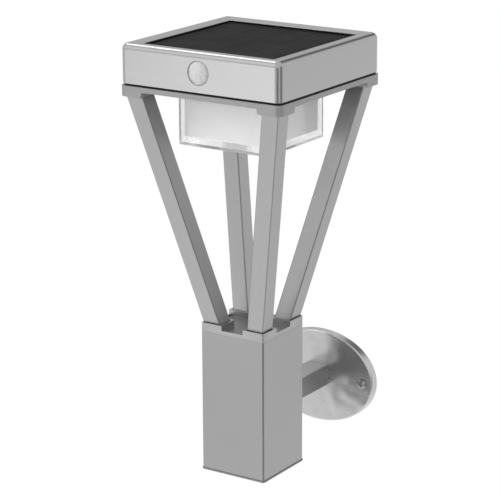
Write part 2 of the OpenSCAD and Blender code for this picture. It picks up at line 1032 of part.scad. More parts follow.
module led_screws() {
  color("gray")
    for (s = corner_signs)
      at_post(board_top)
        translate([s[0] * lamp_screw, s[1] * lamp_screw, 0])
          pan_screw(m3, board_top - floor_top + lamp_screw_depth);
}

module mode_button() {
  color("black")
    at_post(strip_bottom - button_proud)
      translate([side_centre, 0, 0]) {
        cylinder(r = button_radius, h = floor_top + button_flange - strip_bottom + button_proud);
        translate([0, 0, floor_top - strip_bottom + button_proud])
          cylinder(r = button_radius + button_flange_lap, h = button_flange);
      }
}

module switch_plunger() {
  color("brown")
    at_post(button_top)
      translate([side_centre, 0, 0])
        cylinder(r = plunger_radius, h = switch_bottom - button_top + plunger_engage);
}

module switch_body() {
  color("dimgray")
    at_post(switch_bottom)
      translate([side_centre, 0, 0])
        difference() {
          translate([-switch_width / 2, -switch_width / 2, 0])
            cube([switch_width, switch_width, switch_height]);
          translate([0, 0, -lap])
            cylinder(r = plunger_radius + running_gap,
                     h = lap + plunger_engage + button_travel + plunger_play);
        }
}

module arm() {
  color("silver")
    translate([0, arm_start, arm_rise])
      rotate([-90, 0, 0])
        square_ring(arm_width, arm_corner, arm_bore, small_bore_corner, plate_front - arm_start);
}

module arm_plugs() {
  width = arm_bore - slip;
  color("dimgray")
    for (y = [arm_start, plate_front - arm_plug_length])
      difference() {
        translate([0, y, arm_rise])
          rotate([-90, 0, 0])
            rounded_block(width, plug_corner, arm_plug_length);
        for (z = arm_screw_heights())
          translate([0, y - lap, z])
            rotate([-90, 0, 0])
              cylinder(r = m4[0] + thread_gap, h = arm_plug_length + 2 * lap);
      }
}

module arm_post_screws() {
  color("gray")
    for (z = arm_screw_heights())
      translate([0, arm_start - tube_wall, z])
        rotate([90, 0, 0])
          pan_screw(m4, arm_screw_length);
}

module arm_plate_screws() {
  color("gray")
    for (z = arm_screw_heights())
      translate([0, plate_front + plate_wall, z])
        rotate([-90, 0, 0])
          pan_screw(m4, arm_screw_length);
}

// A flat oval with a rounded top edge, inset all round, lying on z = 0
function oval(inset) = [for (i = [0:oval_sides - 1])
  [(plate_length / 2 - inset) * cos(i * 360 / oval_sides),
   (plate_height / 2 - inset) * sin(i * 360 / oval_sides)]];

module oval_puck(inset, edge, h) {
  hull() {
    linear_extrude(height = h - edge)
      polygon(oval(inset));
    for (a = [30, 60, 90])
      linear_extrude(height = h - edge + edge * sin(a))
        polygon(oval(inset + edge * (1 - cos(a))));
  }
}

module wall_plate() {
  color("silver")
    rotate([90, 0, 0])
      difference() {
        oval_puck(0, plate_round, plate_depth);
        translate([0, 0, -plate_round])
          oval_puck(plate_wall, plate_round / 2, plate_depth - plate_wall + plate_round);
        for (s = [-1, 1])
          translate([s * plate_screw_x, 0, plate_depth - plate_wall - lap])
            cylinder(r = m4[0] + slip, h = plate_wall + 2 * lap);
        for (z = arm_screw_heights())
          translate([0, z, plate_depth - plate_wall - lap])
            cylinder(r = m4[0] + slip, h = plate_wall + 2 * lap);
      }
}

module wall_bracket() {
  half = plate_screw_x + nut_radius - bracket_round + bracket_edge;
  color("darkgray")
    rotate([90, 0, 0])
      difference() {
        union() {
          translate([-half, -bracket_round, 0])
            cube([2 * half, 2 * bracket_round, bracket_thickness]);
          for (s = [-1, 1])
            translate([s * half, 0, 0])
              cylinder(r = bracket_round, h = bracket_thickness);
        }
        for (s = [-1, 1])
          translate([s * plate_screw_x, 0, -lap])
            cylinder(r = nut_spigot + thread_gap, h = bracket_thickness + 2 * lap);
        for (s = [-1, 1])
          translate([s * wall_screw_spacing / 2, 0, -lap])
            cylinder(r = wall_screw_radius, h = bracket_thickness + 2 * lap);
      }
}

module bracket_nuts() {
  color("gray")
    rotate([90, 0, 0])
      for (s = [-1, 1])
        translate([s * plate_screw_x, 0, 0])
          difference() {
            union() {
              cylinder(r = nut_spigot, h = bracket_thickness + lap);
              translate([0, 0, bracket_thickness])
                cylinder(r = nut_radius, h = plate_depth - plate_wall - bracket_thickness);
            }
            translate([0, 0, -lap])
              cylinder(r = m4[0] + thread_gap, h = plate_depth + 2 * lap);
          }
}

module plate_screws() {
  color("gray")
    for (s = [-1, 1])
      translate([s * plate_screw_x, plate_front, 0])
        rotate([90, 0, 0])
          pan_screw(plate_screw, plate_depth - bracket_thickness + plate_screw_grip);
}

post();
bottom_cap();
collar();
collar_screws();
leg_front_left();
leg_front_right();
leg_back_left();
leg_back_right();
leg_foot_plugs();
leg_head_plugs();
leg_foot_screws();
leg_head_screws();
upper_frame();
head_base();
base_screws();
head_cover();
panel_seal();
solar_glass();
solar_cells();
panel_backboard();
panel_carrier();
sensor_lens();
sensor_housing();
sensor_detector();
sensor_board();
battery_holder();
battery_cell();
battery_contacts();
control_board();
board_parts();
board_screws();
diffuser_seal();
diffuser_shell();
diffuser_core();
led_board();
led_chips();
led_screws();
mode_button();
switch_plunger();
switch_body();
arm();
arm_plugs();
arm_post_screws();
arm_plate_screws();
wall_plate();
wall_bracket();
bracket_nuts();
plate_screws();
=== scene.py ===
# %% [markdown]
# A solar wall light in brushed stainless steel: a square head on four leaning legs, a square
# post, and a short arm on an oval wall plate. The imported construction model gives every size
# and place, and this lesson dresses it. Each piece that shows gets softly broken edges and a
# surface made from nodes, because real sheet, tube and castings never have a perfectly sharp
# edge or a perfectly even colour.
#
# Everything is in metres, in the same frame as the construction model. So a piece is drawn
# right where it belongs, and its object stays at the origin.

import math

import bmesh
import bpy
from mathutils import Matrix, Vector


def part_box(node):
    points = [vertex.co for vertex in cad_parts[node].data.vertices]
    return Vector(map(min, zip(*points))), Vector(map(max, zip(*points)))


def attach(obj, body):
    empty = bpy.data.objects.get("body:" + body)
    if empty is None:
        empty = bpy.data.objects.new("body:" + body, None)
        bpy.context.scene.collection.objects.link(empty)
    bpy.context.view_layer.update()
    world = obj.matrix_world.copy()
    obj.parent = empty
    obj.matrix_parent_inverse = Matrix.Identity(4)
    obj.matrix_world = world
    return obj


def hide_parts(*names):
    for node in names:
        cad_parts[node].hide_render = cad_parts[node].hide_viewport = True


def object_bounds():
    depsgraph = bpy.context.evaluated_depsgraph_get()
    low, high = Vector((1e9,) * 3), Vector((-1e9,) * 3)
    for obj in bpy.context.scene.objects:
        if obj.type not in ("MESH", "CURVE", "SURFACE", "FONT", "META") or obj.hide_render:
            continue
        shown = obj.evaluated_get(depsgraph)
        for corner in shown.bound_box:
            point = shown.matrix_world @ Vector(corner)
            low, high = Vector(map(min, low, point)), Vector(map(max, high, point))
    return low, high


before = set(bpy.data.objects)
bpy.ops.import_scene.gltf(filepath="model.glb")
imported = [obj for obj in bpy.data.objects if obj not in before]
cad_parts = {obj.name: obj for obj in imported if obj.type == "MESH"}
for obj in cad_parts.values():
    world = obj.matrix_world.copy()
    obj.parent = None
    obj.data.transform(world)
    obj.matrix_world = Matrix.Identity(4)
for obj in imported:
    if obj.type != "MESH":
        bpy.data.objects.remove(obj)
cad_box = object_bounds()
scene = bpy.context.scene
MM = 0.001
print("the model's box:", cad_box)

# %% [markdown]
# The camera stands where the photograph was taken, a little above the lamp and to the right of
# its front. It could be aimed by eye, but then few edges would land where they do in the
# photograph. So its direction, distance and lens were solved from about thirty points of the
# picture. The lens is long, which keeps the upright edges nearly parallel, and a small shift
# moves the picture without turning the camera.

# %% Place the camera
CAMERA_AZIMUTH = math.radians(33.41)
CAMERA_HEIGHT = math.radians(15.79)
CAMERA_ROLL = math.radians(-0.24)
CAMERA_DISTANCE = 1.756
SENSOR_WIDTH = 36.0
LENS_PIXELS = 2137.0
PICTURE = 500.0
CENTRE_ACROSS = 252.06
CENTRE_DOWN = 236.65
AIM = Vector((0.0, -0.1125, 0.1514))


def put_in_scene(name, data):
    made = bpy.data.objects.new(name, data)
    scene.collection.objects.link(made)
    return made


def camera_axes():
    back = Vector((math.sin(CAMERA_AZIMUTH) * math.cos(CAMERA_HEIGHT),
                   -math.cos(CAMERA_AZIMUTH) * math.cos(CAMERA_HEIGHT),
                   math.sin(CAMERA_HEIGHT)))
    right = Vector((math.cos(CAMERA_AZIMUTH), math.sin(CAMERA_AZIMUTH), 0.0))
    up = back.cross(right)
    turned_right = right * math.cos(CAMERA_ROLL) + up * math.sin(CAMERA_ROLL)
    turned_up = up * math.cos(CAMERA_ROLL) - right * math.sin(CAMERA_ROLL)
    return turned_right, turned_up, back


def place_camera():
    right, up, back = camera_axes()
    data = bpy.data.cameras.new("studio_camera")
    data.sensor_width = SENSOR_WIDTH
    data.lens = LENS_PIXELS / PICTURE * SENSOR_WIDTH
    data.shift_x = (PICTURE / 2 - CENTRE_ACROSS) / PICTURE
    data.shift_y = (CENTRE_DOWN - PICTURE / 2) / PICTURE
    camera = put_in_scene("studio_camera", data)
    turn = Matrix((right, up, back)).transposed()
    camera.matrix_world = Matrix.Translation(AIM + back * CAMERA_DISTANCE) @ turn.to_4x4()
    scene.camera = camera
    print("lens in mm:", round(data.lens, 1))


place_camera()
scene.view_settings.view_transform = "Standard"

# %% [markdown]
# Sky, floor and finishes are all made of shader nodes. Placing and joining nodes one by one
# takes many lines, so a few helpers do it: one feeds a socket with a number or with another
# node, and the others add a sum, a blend, a change of range, and a look at what kind of ray
# has arrived. Blender's noise seldom leaves the range between 0.3 and 0.7, so that range is
# what the helpers stretch.

# %% Helpers that join nodes
NOISE_LOW = 0.3
NOISE_HIGH = 0.7


def link(tree, source, target):
    tree.links.new(source, target)


def feed(tree, socket, value):
    if isinstance(value, (int, float)):
        socket.default_value = value
    else:
        link(tree, value, socket)


def arithmetic(tree, operation, first, second):
    node = tree.nodes.new("ShaderNodeMath")
    node.operation = operation
    feed(tree, node.inputs[0], first)
    feed(tree, node.inputs[1], second)
    return node.outputs[0]


def blend_values(tree, factor, first, second):
    node = tree.nodes.new("ShaderNodeMix")
    feed(tree, node.inputs["Factor"], factor)
    feed(tree, node.inputs["A"], first)
    feed(tree, node.inputs["B"], second)
    return node.outputs["Result"]


def spread(tree, value, low, high, start=NOISE_LOW, end=NOISE_HIGH,
           interpolation="LINEAR"):
    node = tree.nodes.new("ShaderNodeMapRange")
    node.interpolation_type = interpolation
    node.inputs["From Min"].default_value = start
    node.inputs["From Max"].default_value = end
    node.inputs["To Min"].default_value = low
    node.inputs["To Max"].default_value = high
    link(tree, value, node.inputs["Value"])
    return node.outputs[0]


def ray_kinds(tree):
    path = tree.nodes.new("ShaderNodeLightPath")
    direct = arithmetic(tree, "MAXIMUM", path.outputs["Is Camera Ray"],
                        path.outputs["Is Transmission Ray"])
    return direct, path.outputs["Is Glossy Ray"]


# %% [markdown]
# The studio is white, and its sky has three levels. A ray that comes straight from the camera,
# or through clear plastic, sees pure white, which gives the white background. The soft light
# on the object comes from a lower, even level. Reflections see a third sky: polished metal
# shows whatever stands round it, and no room is white all round, so that sky is darker on four
# sides. A rounded edge mirrors a wide sweep of the room in one narrow line, so the first three
# draw the thin dark lines down the near corners and along the cover's right top edge. The
# fourth tones down the flat tops. A picture of a room would do the same, but four soft spots
# are easier to place where the metal mirrors them.

# %% Build the sky
SKY_LIGHT = 0.62
# Each side: the way to it, the cosines where it fades in and is full, and how dark it is
DARK_SIDES = {
    "right wall": ((1.0, 0.1, -0.1), 0.88, 0.99, 0.75),
    "above the back": ((0.09, 0.80, 0.59), 0.94, 0.99, 0.85),
    "front right": ((0.50, -0.75, -0.43), 0.89, 0.98, 0.9),
    "back left": ((-0.53, 0.84, 0.0), 0.80, 1.0, 0.35),
}


def dimmed_side(tree, direction, towards, start, end, amount):
    dot = tree.nodes.new("ShaderNodeVectorMath")
    dot.operation = "DOT_PRODUCT"
    link(tree, direction, dot.inputs[0])
    dot.inputs[1].default_value = Vector(towards).normalized()
    return spread(tree, dot.outputs["Value"], 0.0, amount, start, end, "SMOOTHSTEP")


def build_sky():
    world = bpy.data.worlds.new("studio_sky")
    world.use_nodes = True
    scene.world = world
    tree = world.node_tree
    background = tree.nodes["Background"]
    background.inputs["Color"].default_value = (1.0, 1.0, 1.0, 1.0)
    direction = tree.nodes.new("ShaderNodeTexCoord").outputs["Generated"]
    mirrored = 1.0
    for side in DARK_SIDES.values():
        mirrored = arithmetic(tree, "SUBTRACT", mirrored, dimmed_side(tree, direction, *side))
    direct, glossy = ray_kinds(tree)
    level = blend_values(tree, glossy, SKY_LIGHT, mirrored)
    link(tree, blend_values(tree, direct, level, 1.0), background.inputs["Strength"])
    print("sides that are darker in reflections:", ", ".join(DARK_SIDES))


build_sky()

# %% [markdown]
# The lamp hangs on a wall, so the floor lies well below it. The floor is there to catch a soft
# shadow and to be mirrored, never to light the object. It glows for the camera and through
# clear plastic, only as much as it needs to look as white as the sky. In reflections it is a
# mid grey: the leaning legs mirror it, and a bare white floor would make them look like paper.

# %% Lay the floor
FLOOR_DROP = 0.9
FLOOR_HALF_WIDTH = 1.6
FLOOR_MIDDLE_Y = -0.1
FLOOR_PAINT = 0.9
FLOOR_ROUGHNESS = 0.9
FLOOR_GLOW = 0.62
FLOOR_IN_METAL = 0.42


def pale_paint():
    paint = bpy.data.materials.new("pale_floor")
    paint.use_nodes = True
    tree = paint.node_tree
    shader = tree.nodes["Principled BSDF"]
    shader.inputs["Base Color"].default_value = (FLOOR_PAINT, FLOOR_PAINT, FLOOR_PAINT, 1.0)
    shader.inputs["Roughness"].default_value = FLOOR_ROUGHNESS
    direct, glossy = ray_kinds(tree)
    glow = tree.nodes.new("ShaderNodeEmission")
    link(tree, arithmetic(tree, "ADD", arithmetic(tree, "MULTIPLY", direct, FLOOR_GLOW),
                          arithmetic(tree, "MULTIPLY", glossy, FLOOR_IN_METAL)),
         glow.inputs["Strength"])
    both = tree.nodes.new("ShaderNodeAddShader")
    link(tree, shader.outputs[0], both.inputs[0])
    link(tree, glow.outputs[0], both.inputs[1])
    link(tree, both.outputs[0], tree.nodes["Material Output"].inputs["Surface"])
    return paint


def build_floor():
    level = cad_box[0][2] - FLOOR_DROP
    mesh = bpy.data.meshes.new("studio_floor")
    bm = bmesh.new()
    bmesh.ops.create_grid(bm, x_segments=1, y_segments=1, size=FLOOR_HALF_WIDTH)
    bmesh.ops.translate(bm, verts=bm.verts, vec=(0.0, FLOOR_MIDDLE_Y, level))
    bm.to_mesh(mesh)
    bm.free()
    mesh.materials.append(pale_paint())
    floor = put_in_scene("studio_floor", mesh)
    print("floor lies at", round(level, 3))


build_floor()

# %% [markdown]
# Five soft lamps light the object, and each has one job:
#
# - The key softbox at the left front makes the front faces lighter than the right ones. Metal
#   would show it as a big bright square, so it is hidden from reflections.
# - The low strip is mirrored in the cover's front, and makes it brighter towards the right.
# - The near panel draws the bright line along the cover's top edge.
# - The overhead strip lights the tops, and the rounded edges between a top and a front.
# - The fill at the right lifts the white plastics a little, and metal doesn't show it either.
#
# One strong lamp would be simpler. But metal shows the lamps themselves and not their light,
# so each face needs something of its own to mirror.

# %% Hang the lamps


def soft_lamp(name, place, width, height, power, mirrored=True):
    data = bpy.data.lights.new(name, "AREA")
    data.shape = "RECTANGLE"
    data.size = width
    data.size_y = height
    data.energy = power
    lamp = put_in_scene(name, data)
    lamp.location = place
    lamp.visible_glossy = mirrored
    aim = AIM - Vector(place)
    lamp.rotation_euler = aim.to_track_quat("-Z", "Y").to_euler()
    print(name, "stands", round(aim.length, 2), "m away")


soft_lamp("key_softbox", (-1.7, -2.1, 1.0), 2.6, 2.6, 31.0, mirrored=False)
soft_lamp("low_strip", (-0.78, -1.73, -0.09), 0.8, 0.42, 1.15)
soft_lamp("near_panel", (-0.36, -0.78, 0.72), 0.5, 0.5, 0.4)
soft_lamp("overhead_strip", (-1.35, 0.02, 2.3), 0.5, 0.5, 5.0)
soft_lamp("right_fill", (1.85, 0.1, 0.2), 1.4, 1.4, 3.5, mirrored=False)

# %% [markdown]
# No real finish is one flat colour. Each one here starts from noise in the object's own
# coordinates, so the pattern stays on the piece when the piece moves. A photograph of a
# surface could be wrapped round the pieces instead, but nodes need no unwrapping and stay
# sharp from close by. The helpers make a noise, turn it into colour or bump, lay one colour
# over another, and lighten sharp edges. That lighter edge is partly wear, which handling rubs
# bright, and partly a painted highlight along the edge.

# %% Helpers for the finishes
EVERY_WAY = (1.0, 1.0, 1.0)
# How much fine detail a noise has
COARSE, MEDIUM, FINE = 1.0, 2.0, 3.0
EDGE_STARTS = 0.52
EDGE_IS_FULL = 0.62
finishes = {}


def grey(level):
    return level, level, level


def new_finish(name):
    finish = bpy.data.materials.new(name)
    finish.use_nodes = True
    finishes[name] = finish
    return finish.node_tree, finish.node_tree.nodes["Principled BSDF"]


def noise(tree, stretch, scale, detail):
    place = tree.nodes.new("ShaderNodeTexCoord")
    mapping = tree.nodes.new("ShaderNodeMapping")
    mapping.inputs["Scale"].default_value = stretch
    texture = tree.nodes.new("ShaderNodeTexNoise")
    texture.inputs["Scale"].default_value = scale
    texture.inputs["Detail"].default_value = detail
    link(tree, place.outputs["Object"], mapping.inputs["Vector"])
    link(tree, mapping.outputs[0], texture.inputs["Vector"])
    return texture.outputs["Fac"]


def tint(tree, value, dark, light):
    node = tree.nodes.new("ShaderNodeValToRGB")
    for stop, position, colour in zip(node.color_ramp.elements, (NOISE_LOW, NOISE_HIGH),
                                      (dark, light)):
        stop.position = position
        stop.color = (*colour, 1.0)
    link(tree, value, node.inputs["Fac"])
    return node.outputs["Color"]


def relief(tree, shader, value, strength, depth):
    node = tree.nodes.new("ShaderNodeBump")
    node.inputs["Strength"].default_value = strength
    node.inputs["Distance"].default_value = depth
    link(tree, value, node.inputs["Height"])
    link(tree, node.outputs[0], shader.inputs["Normal"])


def paint_over(tree, colour, over, share):
    mix = tree.nodes.new("ShaderNodeMix")
    mix.data_type = "RGBA"
    mix.inputs["B"].default_value = (*over, 1.0)
    link(tree, share, mix.inputs["Factor"])
    link(tree, colour, mix.inputs["A"])
    return mix.outputs["Result"]


# Lightens sharp edges: partly wear, partly a painted highlight along the edge.
def wear_and_sheen_edges(tree, colour, light, amount):
    shape = tree.nodes.new("ShaderNodeNewGeometry")
    edge = spread(tree, shape.outputs["Pointiness"], 0.0, amount, EDGE_STARTS, EDGE_IS_FULL)
    return paint_over(tree, colour, light, edge)


# %% [markdown]
# An abrasive belt draws thousands of fine scratches along brushed steel. The noise is
# stretched the same way, so that its grains become streaks about seventy times longer than
# they are wide. The same streaks move colour, roughness and a tiny bump, but only a very
# little, because from a step away brushed steel looks even. A second, slow noise makes the
# roughness cloudy. Castings and screws aren't brushed, so their noise is hardly stretched.
#
# The legs are brushed more softly than the post and mirror their surroundings in a blur. The
# rounded corners of a tube get a darker finish of their own. That darker finish is a painted
# reflection, which draws the thin dark line down each corner.

# %% Brush the steel
ALONG_X = (0.015, 1.0, 1.0)
ALONG_Y = (1.0, 0.015, 1.0)
ALONG_Z = (1.0, 1.0, 0.015)
UNBRUSHED = (0.3, 0.3, 0.3)
STREAK_SCALE = 1600.0
CLOUD_SCALE = 14.0
STREAK_CONTRAST = 0.02
STREAK_ROUGHNESS = 0.003
CLOUD_ROUGHNESS = 0.01
STREAK_STRENGTH = 0.02
STREAK_DEPTH = 0.002 * MM
# Sharp edges of steel are lighter: partly wear, partly a painted highlight.
WEAR_AND_SHEEN_GAIN = 1.35
WEAR_AND_SHEEN_LIMIT = 0.8
WEAR_AND_SHEEN_AMOUNT = 0.4
# Each steel: the way its grain runs, tone, roughness
STEELS = {
    "steel_upright": (ALONG_Z, 0.335, 0.26),
    "steel_leg": (ALONG_Z, 0.345, 0.36),
    # rounded tube corners: darker, a painted reflection that draws the dark edge lines
    "painted_corner_reflection": (ALONG_Z, 0.225, 0.36),
    "steel_across": (ALONG_X, 0.385, 0.26),
    # the arm: much lighter than the post's steel, painted light that lifts its shaded sides
    "steel_deep": (ALONG_Y, 0.52, 0.28),
    "cast_satin": (UNBRUSHED, 0.36, 0.38),
    "cast_dark": (UNBRUSHED, 0.33, 0.50),
    "plug_cast": (UNBRUSHED, 0.34, 0.45),
    "screw_steel": (UNBRUSHED, 0.30, 0.30),
}


def bare_steel(name, grain, tone, roughness):
    tree, shader = new_finish(name)
    streaks = noise(tree, grain, STREAK_SCALE, MEDIUM)
    clouds = noise(tree, EVERY_WAY, CLOUD_SCALE, MEDIUM)
    colour = tint(tree, streaks, grey(tone * (1.0 - STREAK_CONTRAST)),
                  grey(tone * (1.0 + STREAK_CONTRAST)))
    edge_wear_and_sheen = grey(min(tone * WEAR_AND_SHEEN_GAIN, WEAR_AND_SHEEN_LIMIT))
    link(tree, wear_and_sheen_edges(tree, colour, edge_wear_and_sheen, WEAR_AND_SHEEN_AMOUNT), shader.inputs["Base Color"])
    streaky = spread(tree, streaks, roughness - STREAK_ROUGHNESS, roughness + STREAK_ROUGHNESS)
    cloudy = spread(tree, clouds, -CLOUD_ROUGHNESS, CLOUD_ROUGHNESS)
    link(tree, arithmetic(tree, "ADD", streaky, cloudy), shader.inputs["Roughness"])
    shader.inputs["Metallic"].default_value = 1.0
    return tree, shader, streaks


def brushed_steel(name, grain, tone, roughness):
    tree, shader, streaks = bare_steel(name, grain, tone, roughness)
    relief(tree, shader, streaks, STREAK_STRENGTH, STREAK_DEPTH)


for name, recipe in STEELS.items():
    brushed_steel(name, *recipe)
print("steels:", ", ".join(STEELS))

# %% [markdown]
# The wall plate is polished and thin, and a thin pressed plate is never quite flat. Its waves
# can't be seen from the side, but they bend what it mirrors into soft clouds. They could be
# put into the mesh with many more faces. A slow noise as bump gives the same clouds without
# them.

# %% Polish the wavy plate
WAVE_SCALE = 42.0
WAVE_STRENGTH = 1.0
WAVE_DEPTH = 1.6 * MM
PLATE_TONE = 0.50
PLATE_ROUGHNESS = 0.27


def wavy_plate(name):
    tree, shader, _ = bare_steel(name, ALONG_X, PLATE_TONE, PLATE_ROUGHNESS)
    waves = noise(tree, EVERY_WAY, WAVE_SCALE, COARSE)
    relief(tree, shader, waves, WAVE_STRENGTH, WAVE_DEPTH)
    print(name, "waves are about", round(1.0 / WAVE_SCALE / MM), "mm wide")


wavy_plate("plate_polish")

# %% [markdown]
# Moulded plastic and rubber are matt, because the steel of the mould was etched. A fine, even
# noise varies their colour and roughness and dents them very slightly. The black pieces get
# less shine than the default, since real black mouldings hardly mirror at all, and the dark
# gap under the cover has to stay black.

# %% Mould the plastics
MATTER = 0.06
SHINIER = 0.08
GRAIN_STRENGTH = 0.15
GRAIN_DEPTH = 0.05 * MM
# Sharp edges of plastic are lighter too: partly wear, partly a painted highlight.
PLASTIC_WEAR_AND_SHEEN = 0.5
# Each plastic: dark tone, light tone, roughness, scale of the grain, shine
PLASTICS = {
    "black_plastic": (grey(0.010), grey(0.022), 0.5, 1800.0, 0.1),
    "black_rubber": (grey(0.004), grey(0.010), 0.7, 900.0, 0.05),
    "grey_cap": (grey(0.20), grey(0.26), 0.45, 1800.0, 0.5),
    "board_green": ((0.01, 0.08, 0.03), (0.03, 0.16, 0.06), 0.35, 1800.0, 0.5),
    "board_white": ((0.75, 0.75, 0.73), (0.85, 0.85, 0.83), 0.4, 1800.0, 0.5),
    "phosphor": ((0.75, 0.6, 0.15), (0.9, 0.8, 0.3), 0.4, 1800.0, 0.5),
    "cell_sleeve": ((0.02, 0.16, 0.1), (0.04, 0.22, 0.14), 0.3, 1800.0, 0.5),
}


def moulded_plastic(name, dark, light, roughness, scale, shine):
    tree, shader = new_finish(name)
    shader.inputs["Specular IOR Level"].default_value = shine
    grain = noise(tree, EVERY_WAY, scale, FINE)
    link(tree, wear_and_sheen_edges(tree, tint(tree, grain, dark, light), light, PLASTIC_WEAR_AND_SHEEN),
         shader.inputs["Base Color"])
    link(tree, spread(tree, grain, roughness - MATTER, roughness + SHINIER),
         shader.inputs["Roughness"])
    relief(tree, shader, grain, GRAIN_STRENGTH, GRAIN_DEPTH)


for name, recipe in PLASTICS.items():
    moulded_plastic(name, *recipe)
print("plastics:", ", ".join(PLASTICS))

# %% [markdown]
# The diffuser's inner box is frosted: it scatters the light and looks like a soft white solid,
# so it is a rough white plastic that lets a little light in.
#
# The outer box is clear acrylic with real walls, and light that bends in a closed wall gives
# the dark lines along its edges. In a picture this small the bent light alone makes the thin
# walls look like solid glass. So a part of every ray passes straight through, and a shadow ray
# passes almost whole, because a clear box hardly shades what is inside it.

# %% Frost one acrylic and leave one clear
FROST_SCALE = 900.0
FROST_TONES = (0.80, 0.84)
FROST_ROUGHNESS = (0.5, 0.62)
FROST_STRENGTH = 0.1
FROST_DEPTH = 0.04 * MM
THROUGH_FROST = 0.15
CLEAR_SCALE = 60.0
CLEAR_TONES = (0.97, 1.0)
CLEAR_ROUGHNESS = (0.01, 0.05)
CLEAR_STRENGTH = 0.02
CLEAR_DEPTH = 0.1 * MM
ACRYLIC_BENDS = 1.45
CLEAR_SHARE = 0.18
PASSED_LIGHT = 0.94


def frosted_acrylic():
    tree, shader = new_finish("frosted_acrylic")
    grain = noise(tree, EVERY_WAY, FROST_SCALE, FINE)
    link(tree, tint(tree, grain, *map(grey, FROST_TONES)), shader.inputs["Base Color"])
    link(tree, spread(tree, grain, *FROST_ROUGHNESS), shader.inputs["Roughness"])
    shader.inputs["Transmission Weight"].default_value = THROUGH_FROST
    relief(tree, shader, grain, FROST_STRENGTH, FROST_DEPTH)


def clear_acrylic():
    tree, shader = new_finish("clear_acrylic")
    faint = noise(tree, EVERY_WAY, CLEAR_SCALE, MEDIUM)
    link(tree, tint(tree, faint, *map(grey, CLEAR_TONES)), shader.inputs["Base Color"])
    link(tree, spread(tree, faint, *CLEAR_ROUGHNESS), shader.inputs["Roughness"])
    shader.inputs["Transmission Weight"].default_value = 1.0
    shader.inputs["IOR"].default_value = ACRYLIC_BENDS
    relief(tree, shader, faint, CLEAR_STRENGTH, CLEAR_DEPTH)
    passing = tree.nodes.new("ShaderNodeBsdfTransparent")
    passing.inputs["Color"].default_value = (*grey(PASSED_LIGHT), 1.0)
    path = tree.nodes.new("ShaderNodeLightPath")
    mix = tree.nodes.new("ShaderNodeMixShader")
    link(tree, arithmetic(tree, "MAXIMUM", path.outputs["Is Shadow Ray"], CLEAR_SHARE),
         mix.inputs["Fac"])
    link(tree, shader.outputs[0], mix.inputs[1])
    link(tree, passing.outputs[0], mix.inputs[2])
    link(tree, mix.outputs[0], tree.nodes["Material Output"].inputs["Surface"])


frosted_acrylic()
clear_acrylic()
print("share that passes the clear box straight:", CLEAR_SHARE)

# %% [markdown]
# The sensor's lens is white plastic with many small facets, which gather warmth from all
# sides. Cutting hundreds of facets into the mesh would be wasted on a piece this small. A
# texture of cells is used as bump instead: each cell dips towards its middle and catches the
# light a little differently from its neighbours.

# %% Facet the lens
LENS_GRAIN_SCALE = 600.0
LENS_TONES = (0.63, 0.71)
LENS_ROUGHNESS = (0.12, 0.20)
FACET_SCALE = 330.0
FACET_STRENGTH = 0.8
FACET_DEPTH = 1.0 * MM


def faceted_lens(name):
    tree, shader = new_finish(name)
    grain = noise(tree, EVERY_WAY, LENS_GRAIN_SCALE, FINE)
    link(tree, tint(tree, grain, *map(grey, LENS_TONES)), shader.inputs["Base Color"])
    link(tree, spread(tree, grain, *LENS_ROUGHNESS), shader.inputs["Roughness"])
    place = tree.nodes.new("ShaderNodeTexCoord")
    facets = tree.nodes.new("ShaderNodeTexVoronoi")
    facets.inputs["Scale"].default_value = FACET_SCALE
    link(tree, place.outputs["Object"], facets.inputs["Vector"])
    relief(tree, shader, facets.outputs["Distance"], FACET_STRENGTH, FACET_DEPTH)
    print(name, "facets are about", round(1.0 / FACET_SCALE / MM, 1), "mm wide")


faceted_lens("white_lens")

# %% [markdown]
# The solar panel is a row of dark silicon strips under glass, with a thin black gap between
# each two. A wave that runs up and down like a ball between two walls gives the distance to
# the nearest gap, and a narrow ramp makes a fine line of it. So the lines need no mesh of
# their own and stay sharp. A scatter of pale specks is the dust that every panel outdoors has,
# and the glass is made dull, because a shiny one would mirror the white sky.

# %% Lay the silicon under glass
CELL_PITCH = 26.5 * MM
GAP_HALF = 0.3 * MM
GAP_FADES = 0.9 * MM
GAP_TONE = 0.002
SILICON_SCALE = 40.0
SILICON_TONES = ((0.012, 0.012, 0.014), (0.022, 0.022, 0.024))
DUST_SCALE = 420.0
DUST_TONE = 0.16
DUST_STARTS = 0.75
DUST_IS_FULL = 0.80
GLASS_SCALE = 1400.0
GLASS_ROUGHNESS = (0.5, 0.65)
GLASS_STRENGTH = 0.08
GLASS_DEPTH = 0.05 * MM
GLASS_SHINE = 0.03


def solar_laminate(name):
    tree, shader = new_finish(name)
    place = tree.nodes.new("ShaderNodeTexCoord")
    parts = tree.nodes.new("ShaderNodeSeparateXYZ")
    link(tree, place.outputs["Object"], parts.inputs[0])
    wave = arithmetic(tree, "PINGPONG", parts.outputs["X"], CELL_PITCH / 2)
    gap = spread(tree, wave, 1.0, 0.0, GAP_HALF, GAP_FADES)
    clouds = noise(tree, EVERY_WAY, SILICON_SCALE, FINE)
    specks = noise(tree, EVERY_WAY, DUST_SCALE, COARSE)
    grain = noise(tree, EVERY_WAY, GLASS_SCALE, MEDIUM)
    striped = paint_over(tree, tint(tree, clouds, *SILICON_TONES), grey(GAP_TONE), gap)
    dust = spread(tree, specks, 0.0, 1.0, DUST_STARTS, DUST_IS_FULL)
    link(tree, paint_over(tree, striped, grey(DUST_TONE), dust), shader.inputs["Base Color"])
    link(tree, spread(tree, grain, *GLASS_ROUGHNESS), shader.inputs["Roughness"])
    relief(tree, shader, grain, GLASS_STRENGTH, GLASS_DEPTH)
    shader.inputs["Specular IOR Level"].default_value = GLASS_SHINE
    print(name, "has a gap every", round(CELL_PITCH / MM, 1), "mm")


solar_laminate("solar_laminate")

